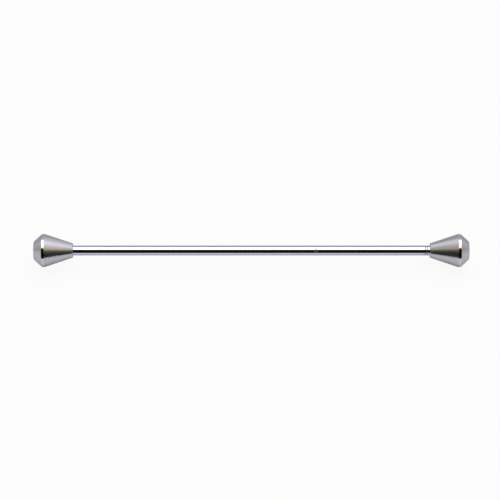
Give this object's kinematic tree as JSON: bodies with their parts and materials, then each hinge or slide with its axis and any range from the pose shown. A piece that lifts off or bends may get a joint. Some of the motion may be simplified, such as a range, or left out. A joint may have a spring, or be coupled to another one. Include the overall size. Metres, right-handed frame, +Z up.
{
  "type": "magic wand",
  "caption": "Polished chrome magic wand: a slim tube with a faceted turned metal knob that unscrews at each end.",
  "frame": {"origin": "centre of the wand, on its axis, midway between the two end faces", "axes": "+X along the wand from the plain end to the end with the visible ferrule and collar, +Z up, and the thread eyelet's front mouth faces 50 degrees up from -Y towards +Z"},
  "size_m": [0.3048, 0.0232, 0.0232],
  "materials": {
    "shaft_chrome": "mirror-polished chrome plate on brass tube",
    "eyelet_black_nickel": "black nickel plate, dulled",
    "plug_brass": "as turned",
    "ferrule_chrome": "polished chrome plate",
    "collar_chrome": "polished chrome plate",
    "washer_nylon": "natural nylon",
    "stud_steel": "rolled thread, zinc plated",
    "knob_aluminium": "fine-turned satin, with a polished band"
  },
  "bodies": {
    "shaft": {"shaft_tube": "shaft_chrome", "thread_eyelet": "eyelet_black_nickel", "left_end_plug": "plug_brass", "right_end_ferrule": "ferrule_chrome", "left_stud": "stud_steel", "right_stud": "stud_steel"},
    "left_washer": {"left_friction_washer": "washer_nylon"},
    "left_knob": {"left_knob": "knob_aluminium"},
    "right_collar": {"right_spacer_collar": "collar_chrome", "right_friction_washer": "washer_nylon"},
    "right_knob": {"right_knob": "knob_aluminium"}
  },
  "joints": [
    {"name": "left_knob_travel", "type": "slide", "parent": "shaft", "child": "left_washer", "axis": [-1, 0, 0], "range_m": [0, 0.0098]},
    {"name": "left_knob_turn", "type": "hinge", "parent": "left_washer", "child": "left_knob", "pos_m": [-0.138, 0, 0], "axis": [-1, 0, 0], "range_deg": [0, 5040]},
    {"name": "right_knob_travel", "type": "slide", "parent": "shaft", "child": "right_collar", "axis": [1, 0, 0], "range_m": [0, 0.0098]},
    {"name": "right_knob_turn", "type": "hinge", "parent": "right_collar", "child": "right_knob", "pos_m": [0.138, 0, 0], "axis": [1, 0, 0], "range_deg": [0, 5040]}
  ],
  "couplings": [
    {"joint": "left_knob_travel", "follows": "left_knob_turn", "m_per_rad": 0.00011141},
    {"joint": "right_knob_travel", "follows": "right_knob_turn", "m_per_rad": 0.00011141}
  ]
}
